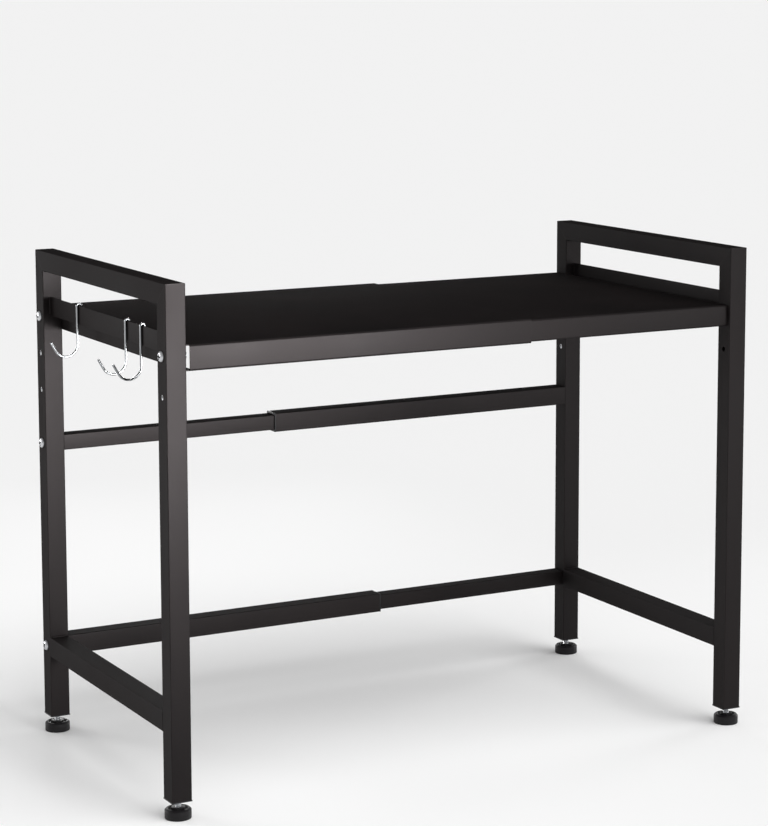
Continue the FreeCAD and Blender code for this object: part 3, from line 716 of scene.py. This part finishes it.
for side, sign in (("left", -1.0), ("right", 1.0)):
    low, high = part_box(side + "_front_post")
    outer_x, inner_x = (low[0], high[0]) if side == "left" else (high[0], low[0])
    body = side + "_stand"
    outwards, inwards = Vector((sign, 0, 0)), Vector((-sign, 0, 0))
    shelf = [(FRONT_Y, SHELF_SCREW_Z), (REAR_Y, SHELF_SCREW_Z)]
    bars = [(REAR_Y, z) for z in BAR_ZS]
    heads = [(Vector((outer_x, y, z)), outwards) for y, z in shelf + bars]
    values = {"Finish": ZINC, "Height": HEAD_HEIGHT}
    grow(side + "_screw_heads", seats("heads", heads), PAN_HEADS, values, body)
    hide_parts(side + "_screws")

    shelf_rods = [(Vector((outer_x, y, z)), inwards) for y, z in shelf]
    values = {"Finish": ZINC, "Radius": SCREW_RADIUS, "Pitch": SCREW_PITCH}
    values.update({"Length": SHELF_SCREW_LENGTH, "Rings": 180})
    threads = side + "_shelf_screw_threads"
    grow(threads, seats("rods", shelf_rods), THREADED_ROD, values, body)
    bar_rods = [(Vector((outer_x, y, z)), inwards) for y, z in bars]
    values.update({"Length": BAR_SCREW_LENGTH, "Rings": 260})
    threads = side + "_bar_screw_threads"
    grow(threads, seats("rods", bar_rods), THREADED_ROD, values, body)

    sheet_x = inner_x - sign * SHEET
    nuts = [(Vector((sheet_x, y, z)), inwards) for y, z in shelf]
    values = {"Finish": ZINC, "Flange Radius": NUT_RADIUS, "Flange Height": NUT_HEIGHT}
    values.update({"Sleeve Radius": NUT_SLEEVE_RADIUS, "Sleeve Length": NUT_SLEEVE_LENGTH})
    values["Bore"] = SCREW_RADIUS
    grow(side + "_shelf_nuts", seats("nuts", nuts), TAPPED_FLANGES, values, body)

    holes = [(FRONT_Y, FIRST_HOLE_Z), (REAR_Y, FIRST_HOLE_Z), (REAR_Y, SECOND_HOLE_Z)]
    sunk = sign * INSERT_SUNK
    spots = [(Vector((outer_x - sunk, y, z)), outwards) for y, z in holes]
    lined = holes if side == "left" else holes[1:]
    spots += [(Vector((inner_x + sunk, y, z)), inwards) for y, z in lined]
    values, inserts = {"Finish": ZINC}, side + "_hole_inserts"
    grow(inserts, seats("inserts", spots), TAPPED_FLANGES, values, body)

# %% [markdown]
# ## Levelling feet
#
# Each foot is a moulded disc with a bevelled rim, a shallow dish and a low
# hexagon for a spanner, on a threaded stem. The disc is turned: one half
# section goes round the Z axis. The hexagon is turned in the same way but with
# only six sides, and rises out of the dish. It stays low enough to clear the
# plug when the foot is screwed right in.

# %% Turned discs and threaded stems
# Half sections, as the radius and the height of each corner in millimetres.
PAD_SECTION = [
    (0, 0.8), (9.0, 0.8), (9.6, 0.0), (11.9, 0.0), (12.3, 0.2), (12.5, 0.6),
    (12.5, 7.7), (12.42, 8.1), (12.2, 8.4), (11.2, 9.3), (10.9, 9.5), (10.5, 9.6),
    (9.9, 9.6), (9.5, 9.5), (9.2, 9.2), (8.5, 8.4), (8.0, 8.3), (0, 8.3),
]
HEXAGON_SECTION = [
    (0, 7.4), (7.2, 7.4), (7.2, 10.1), (6.9, 10.5), (6.6, 10.6), (3.9, 10.6),
    (3.5, 10.3), (0, 10.3),
]
PAD_SIDES, HEXAGON_SIDES = 72, 6
PAD_FOLD = 28.0
STEM_RADIUS, STEM_PITCH, STEM_GROOVE = 3.0 * MM, 1.0 * MM, 0.5 * MM
STEM_START = 9.8 * MM


def turned_shape(work, centre, section, sides):
    """Spin a half section, given in millimetres, about an upright axis."""
    rings = []
    angles = [2 * math.pi * step / sides for step in range(sides)]
    for radius, height in section:
        radius, height = radius * MM, height * MM
        corners = [(radius * math.cos(a), radius * math.sin(a), height) for a in angles]
        if radius == 0:
            corners = [(0, 0, height)]
        rings.append([work.verts.new(centre + Vector(corner)) for corner in corners])
    for lower, upper in zip(rings, rings[1:]):
        for step in range(sides):
            after = (step + 1) % sides
            if len(lower) == 1:
                work.faces.new((lower[0], upper[after], upper[step]))
            elif len(upper) == 1:
                work.faces.new((lower[step], lower[after], upper[0]))
            else:
                work.faces.new((lower[step], lower[after], upper[after], upper[step]))


for corner in ("left_front", "left_rear", "right_front", "right_rear"):
    foot = corner + "_foot"
    low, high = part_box(foot + "_pad")
    centre = Vector(((low[0] + high[0]) / 2, (low[1] + high[1]) / 2, low[2]))
    work = bmesh.new()
    turned_shape(work, centre, PAD_SECTION, PAD_SIDES)
    turned_shape(work, centre, HEXAGON_SECTION, HEXAGON_SIDES)
    bmesh.ops.recalc_face_normals(work, faces=work.faces)
    mesh = bpy.data.meshes.new(foot + "_disc")
    work.to_mesh(mesh)
    work.free()
    mesh.materials.append(FOOT_PLASTIC)
    disc = keep(foot + "_disc", mesh, foot, sharp=PAD_FOLD)
    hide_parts(foot + "_pad")

    low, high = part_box(foot + "_stem")
    base = Vector(((low[0] + high[0]) / 2, (low[1] + high[1]) / 2, STEM_START))
    values = {"Finish": ZINC, "Radius": STEM_RADIUS, "Length": high[2] - base[2]}
    values.update({"Pitch": STEM_PITCH, "Depth": STEM_GROOVE, "Sides": 32, "Rings": 330})
    stem_seat = seats("stem", [(base, Vector((0, 0, 1)))])
    stem = grow(foot + "_thread", stem_seat, THREADED_ROD, values, foot)
    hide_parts(foot + "_stem")

# %% [markdown]
# ## Weld beads
#
# The frames are welded before they are coated. Where a rail or the guard bar
# meets a post at a right angle a small bead stays, a row of overlapping ripples
# under the coat. Each bead starts as one straight edge. The tree turns it into
# a curve, cuts it fine, lets its radius swell with every ripple, and sweeps a
# small ring along it.

# %% Tree for the weld beads
def swept(tree, curve, radius, ring_sides):
    """A ring swept along a curve, with its own radius at every point."""
    inputs = {"Curve": curve, "Radius": radius}
    curve = add(tree, "GeometryNodeSetCurveRadius", inputs).outputs[0]
    inputs = {"Resolution": ring_sides, "Radius": 1.0}
    ring = add(tree, "GeometryNodeCurvePrimitiveCircle", inputs).outputs["Curve"]
    inputs = {"Curve": curve, "Profile Curve": ring, "Fill Caps": True, "Scale": radius}
    return add(tree, "GeometryNodeCurveToMesh", inputs).outputs[0]


def bead_tree():
    """A bead of weld along each loose edge."""
    sizes = {"Bead Radius": 0.0012, "Ripple Spacing": 0.0011, "Ripple": 0.16}
    sizes.update({"Step": 0.0003, "Ring Sides": 10})
    tree, given = new_tree("weld_beads", sizes)
    curve = add(tree, "GeometryNodeMeshToCurve", {"Mesh": given["Geometry"]}).outputs[0]
    inputs = {"Curve": curve, "Length": given["Step"]}
    curve = add(tree, "GeometryNodeResampleCurve", inputs, mode="LENGTH").outputs[0]
    along = add(tree, "GeometryNodeSplineParameter").outputs["Length"]
    total = add(tree, "GeometryNodeSplineLength").outputs["Length"]
    ripples = calc(tree, "DIVIDE", along, given["Ripple Spacing"])
    wave = calc(tree, "SINE", calc(tree, "MULTIPLY", ripples, math.pi))
    wave = calc(tree, "MULTIPLY", calc(tree, "ABSOLUTE", wave), given["Ripple"])
    where = add(tree, "GeometryNodeInputPosition").outputs[0]
    inputs = {"Vector": where, "Scale": 260.0}
    clouds = add(tree, "ShaderNodeTexNoise", inputs).outputs["Fac"]
    swell = calc(tree, "ADD", wave, drift(tree, clouds, 0.78, 0.92))
    from_end = calc(tree, "MINIMUM", along, calc(tree, "SUBTRACT", total, along))
    lead = remap(tree, from_end, 0.0, given["Bead Radius"], 0.05, 1.0)
    swell = calc(tree, "MULTIPLY", swell, calc(tree, "POWER", lead, 0.5))
    radius = calc(tree, "MULTIPLY", swell, given["Bead Radius"])
    return end_tree(tree, swept(tree, curve, radius, given["Ring Sides"]), given["Finish"])


BEADS = bead_tree()
print("tree:", BEADS.name, "with", len(BEADS.nodes), "nodes")

# %% Lay the weld beads
def edges_mesh(name, lines):
    """A mesh of loose edges, one for each start and end point."""
    points = [point for line in lines for point in line]
    mesh = bpy.data.meshes.new(name)
    mesh.from_pydata(points, [(2 * n, 2 * n + 1) for n in range(len(lines))], [])
    return mesh


CORNER_BEAD, GUARD_BEAD = 1.5 * MM, 1.0 * MM
# A bead stops this far short of the tube's rounded corners, or the flat's edges.
CORNER_SHORT, GUARD_SHORT = 1.6 * MM, 0.4 * MM
BEAD_FOLD = 80.0

for side in ("left", "right"):
    rail_low, rail_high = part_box(side + "_lower_rail")
    top_low, top_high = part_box(side + "_top_rail")
    guard_low, guard_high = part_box(side + "_guard_bar")
    x0, x1 = rail_low[0] + CORNER_SHORT, rail_high[0] - CORNER_SHORT
    z0, z1 = guard_low[2] + GUARD_SHORT, guard_high[2] - GUARD_SHORT
    corners, thin = [], []
    for y in (rail_low[1], rail_high[1]):
        for z in (rail_low[2], rail_high[2], top_low[2]):
            corners.append((Vector((x0, y, z)), Vector((x1, y, z))))
        for x in (guard_low[0], guard_high[0]):
            thin.append((Vector((x, y, z0)), Vector((x, y, z1))))
    body = side + "_stand"
    for name, lines, bead in (("_corner_welds", corners, CORNER_BEAD),
                              ("_guard_welds", thin, GUARD_BEAD)):
        values, mesh = {"Finish": COAT, "Bead Radius": bead}, edges_mesh("welds", lines)
        grow(side + name, mesh, BEADS, values, body, BEAD_FOLD)

# %% [markdown]
# ## Wire hooks
#
# A hook is one length of round wire with three plain moves: over the guard bar,
# straight down, and out in a wide J. A few lines of arithmetic lay out its
# centre line; the tree sweeps a ring along it. The cut ends of a real hook are
# tumbled until they are domed, so the radius closes over the last part of the
# wire like the end of a ball.

# %% Centre line of a hook
WIRE = 1.15 * MM
SLACK = 0.1 * MM
LEG, SHANK, TIP = 12.0 * MM, 37.2 * MM, 10.93 * MM
BEND, BEND_STOP = 12.0 * MM, -150
# A dome starts from a speck, this share of the wire's radius.
SPECK = 0.06


def arc(centre, radius, start, stop, steps):
    """Points on an arc in the XZ plane, angles in degrees."""
    angles = [math.radians(start + (stop - start) * n / steps) for n in range(steps + 1)]
    return [centre + Vector((radius * math.cos(a), 0, radius * math.sin(a))) for a in angles]


def hook_line(node):
    """The wire's centre line from the short leg to the tip."""
    low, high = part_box(node)
    y = (low[1] + high[1]) / 2
    guard_low, guard_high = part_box("left_guard_bar")
    crown = (guard_high[0] - guard_low[0]) / 2 + SLACK + WIRE
    behind = high[0] - WIRE
    top = high[2] - WIRE - crown
    outside = behind - 2 * crown
    points = [Vector((behind, y, top - LEG))]
    points += arc(Vector((behind - crown, y, top)), crown, 0, 180, 16)
    points += arc(Vector((outside - BEND, y, top - SHANK)), BEND, 0, BEND_STOP, 40)
    last = math.radians(BEND_STOP)
    away = Vector((math.sin(last), 0, -math.cos(last)))
    points.append(points[-1] + away * TIP)
    return points


def cut_fine(points, step):
    """The same line with its long straights divided up."""
    fine = []
    for one, two in zip(points, points[1:]):
        count = max(1, round((two - one).length / step))
        fine += [one.lerp(two, n / count) for n in range(count)]
    fine.append(points[-1])
    return fine


def dome(tip, inward, radius, steps=8):
    """Points from the tip inwards, each with its radius on a ball's end."""
    direction = (inward - tip).normalized()
    points = [(tip, radius * SPECK)]
    for n in range(1, steps):
        angle = math.pi / 2 * n / steps
        depth = radius * (1 - math.cos(angle))
        points.append((tip + direction * depth, radius * math.sin(angle)))
    return points


def domed(points, radius):
    """The line as points with their radius, both ends closed like a ball."""
    inside = [
        (point, radius) for point in points
        if all((point - tip).length > radius for tip in (points[0], points[-1]))
    ]
    head = dome(points[0], points[1], radius)
    tail = dome(points[-1], points[-2], radius)
    return head + inside + tail[::-1]


for hook in ("front_hook", "middle_hook", "rear_hook"):
    tip = hook_line(hook)[-1]
    print(hook, "tip at", [round(part / MM, 1) for part in tip], "mm")

# %% Tree that sweeps the wire
def wire_tree():
    """A round wire along a line that carries its radius as "thick"."""
    tree, given = new_tree("round_wire", {"Ring Sides": 20})
    curve = add(tree, "GeometryNodeMeshToCurve", {"Mesh": given["Geometry"]}).outputs[0]
    inputs = {"Name": "thick"}
    thick = add(tree, "GeometryNodeInputNamedAttribute", inputs, data_type="FLOAT").outputs[0]
    return end_tree(tree, swept(tree, curve, thick, given["Ring Sides"]), given["Finish"])


ROUND_WIRE = wire_tree()
print("tree:", ROUND_WIRE.name, "with", len(ROUND_WIRE.nodes), "nodes")

# %% Bend the hooks
WIRE_STEP, WIRE_FOLD = 1.2 * MM, 60.0

for hook in ("front_hook", "middle_hook", "rear_hook"):
    line = domed(cut_fine(hook_line(hook), WIRE_STEP), WIRE)
    mesh = bpy.data.meshes.new(hook + "_line")
    mesh.from_pydata([point for point, _ in line], [(n, n + 1) for n in range(len(line) - 1)], [])
    thick = mesh.attributes.new("thick", "FLOAT", "POINT")
    for number, (_, radius) in enumerate(line):
        thick.data[number].value = radius
    values = {"Finish": CHROME}
    wire = grow(hook + "_wire", mesh, ROUND_WIRE, values, hook, WIRE_FOLD)
    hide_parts(hook)

# %% [markdown]
# ## The studio
#
# A wide pale floor runs out to the horizon, where the world takes over in the
# same tone and darkens upwards, so that tall faces don't all mirror white. The
# rack stands in an even light with only its own soft shadow. The level is
# plain: a sheet of paper on the floor would render about as white as paper is.

# %% Floor and world
FLOOR_HALF = 300.0
PAPER = (0.96, 0.96, 0.96, 1.0)
SKY_LOW, SKY_HIGH = 0.93, 0.45

corners = [(-1, -1, 0), (1, -1, 0), (1, 1, 0), (-1, 1, 0)]
floor_mesh = bpy.data.meshes.new("studio_floor")
floor_mesh.from_pydata([Vector(corner) * FLOOR_HALF for corner in corners], [], [(0, 1, 2, 3)])
floor = bpy.data.objects.new("studio_floor", floor_mesh)
bpy.context.scene.collection.objects.link(floor)
floor_finish = bpy.data.materials.new("pale_floor")
floor_finish.use_nodes = True
paper = floor_finish.node_tree.nodes["Principled BSDF"]
paper.inputs["Base Color"].default_value = PAPER
paper.inputs["Roughness"].default_value = 0.9
paper.inputs["Specular IOR Level"].default_value = 0.0
floor_mesh.materials.append(floor_finish)

world = bpy.data.worlds.new("pale_world")
bpy.context.scene.world = world
world.use_nodes = True
sky_tree = world.node_tree
look = add(sky_tree, "ShaderNodeTexCoord").outputs["Generated"]
steep = add(sky_tree, "ShaderNodeSeparateXYZ", {0: look}).outputs["Z"]
pale = remap(sky_tree, steep, 0.01, 0.14, SKY_LOW, SKY_HIGH)
sky_tree.links.new(pale, sky_tree.nodes["Background"].inputs["Color"])
print("floor", 2 * FLOOR_HALF, "m across; sky", SKY_LOW, "at the horizon,", SKY_HIGH, "above")

# %% [markdown]
# Black paint shows its form only where something bright is mirrored in it. A
# large soft lamp above the front gives the floor its shadow. Low soft boxes give
# the gleams: the one in front makes the bright run down the left post that
# fades along the shelf's lip, a faint one beside it parts the front of the
# right posts from their inner sides, and three weaker ones draw the other sides.

# %% Lamps
SUN_STRENGTH, SUN_SPREAD, SUN_TILT = 1.72, 50, (28, 14, 0)
# Place and aim in metres, width and height in metres, power in watts, spread in degrees.
SOFT_BOXES = {
    "gleam_box": ((0.10, -1.30, 0.38), (-0.20, -0.17, 0.40), 0.45, 0.38, 1.4, 38.0),
    "post_box": ((1.00, -1.20, 0.36), (0.31, -0.17, 0.30), 0.4, 0.5, 0.19, 32.0),
    "left_box": ((-1.30, 1.35, 0.45), (-0.31, 0.0, 0.30), 0.8, 0.8, 1.1, 32.0),
    "back_box": ((0.40, 1.60, 0.30), (-0.05, 0.17, 0.32), 0.6, 0.4, 1.2, 45.0),
    "right_box": ((1.60, 0.35, 0.30), (0.33, 0.0, 0.32), 0.6, 0.4, 1.1, 45.0),
}


def soft_box(name, place, aim, width, height, power, spread):
    """A rectangular lamp that the camera doesn't see."""
    data = bpy.data.lights.new(name, "AREA")
    data.shape = "RECTANGLE"
    data.size, data.size_y = width, height
    data.energy = power
    data.spread = math.radians(spread)
    lamp = bpy.data.objects.new(name, data)
    lamp.location = place
    lamp.rotation_euler = (Vector(aim) - Vector(place)).to_track_quat("-Z", "Y").to_euler()
    lamp.visible_camera = False
    bpy.context.scene.collection.objects.link(lamp)
    return lamp


sun_data = bpy.data.lights.new("soft_sky_light", "SUN")
sun_data.energy = SUN_STRENGTH
sun_data.angle = math.radians(SUN_SPREAD)
sun = bpy.data.objects.new("soft_sky_light", sun_data)
sun.rotation_euler = [math.radians(tilt) for tilt in SUN_TILT]
sun.visible_glossy = False
bpy.context.scene.collection.objects.link(sun)
boxes = [soft_box(name, *setting) for name, setting in SOFT_BOXES.items()]
print("lamps:", sun.name, *[lamp.name for lamp in boxes])

# %% [markdown]
# ## The camera
#
# A long lens from the left front, a little above the shelf. Its sensor is
# shifted slightly, so that the rack sits low in the frame and the camera need
# not tilt any further, which would make the posts lean.

# %% Camera
CAMERA_PLACE = (-1.17392, -2.21980, 0.76664)
LENS, SENSOR = 109.19, 36.0
SHIFT_X, SHIFT_Y = -0.06, -0.12
LOOK_DOWN, LOOK_RIGHT = 7.615, 29.022

camera_data = bpy.data.cameras.new("camera")
camera_data.sensor_width = SENSOR
camera_data.lens = LENS
camera_data.shift_x, camera_data.shift_y = SHIFT_X, SHIFT_Y
camera_data.clip_end = 1000.0
camera = bpy.data.objects.new("camera", camera_data)
camera.location = CAMERA_PLACE
camera.rotation_mode = "XYZ"
camera.rotation_euler = (math.radians(90 - LOOK_DOWN), 0.0, math.radians(-LOOK_RIGHT))
bpy.context.scene.collection.objects.link(camera)
bpy.context.scene.camera = camera
bpy.context.scene.view_settings.view_transform = "Standard"
print("camera", LENS, "mm, at", CAMERA_PLACE)
